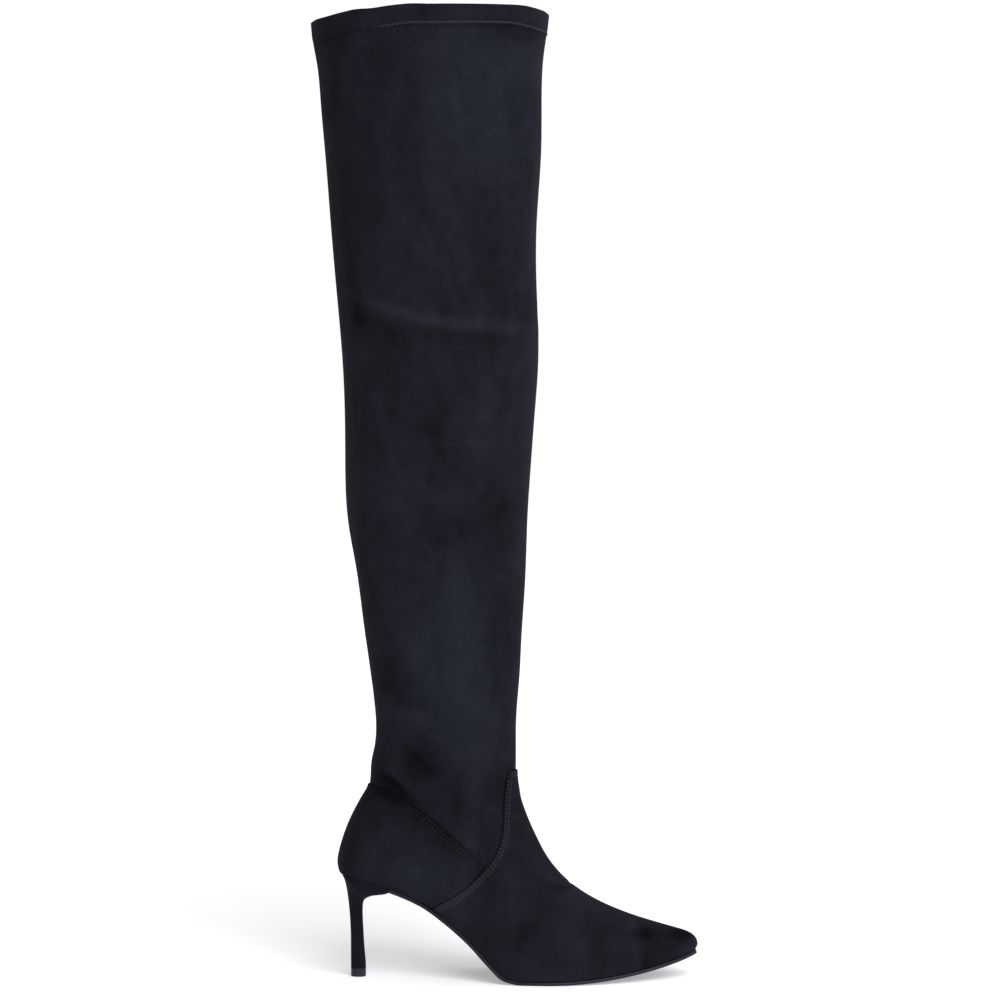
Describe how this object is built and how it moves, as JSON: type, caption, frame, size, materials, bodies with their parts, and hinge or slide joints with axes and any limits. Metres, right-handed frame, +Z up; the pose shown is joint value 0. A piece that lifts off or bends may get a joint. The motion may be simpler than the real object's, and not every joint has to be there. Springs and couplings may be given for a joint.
{
  "type": "thigh high boot",
  "caption": "Right thigh-high boot of dark stretch suede: pointed toe, vamp and counter overlays, hemmed collar, thin sole and slim covered heel.",
  "frame": {"origin": "on the floor, at the middle of the heel tip's underside", "axes": "+Z up along the shaft, +X towards the toe, +Y towards the inner side of the leg"},
  "size_m": [0.2574, 0.124, 0.6411],
  "materials": {
    "suede": "matte nap",
    "sole_leather": "satin",
    "sock_lining": "matte",
    "tip_plastic": "satin"
  },
  "bodies": {
    "root": {"upper": "suede", "vamp": "suede", "counter": "suede", "outsole": "sole_leather", "insole": "sock_lining", "heel": "suede", "top_lift": "tip_plastic"}
  },
  "joints": []
}
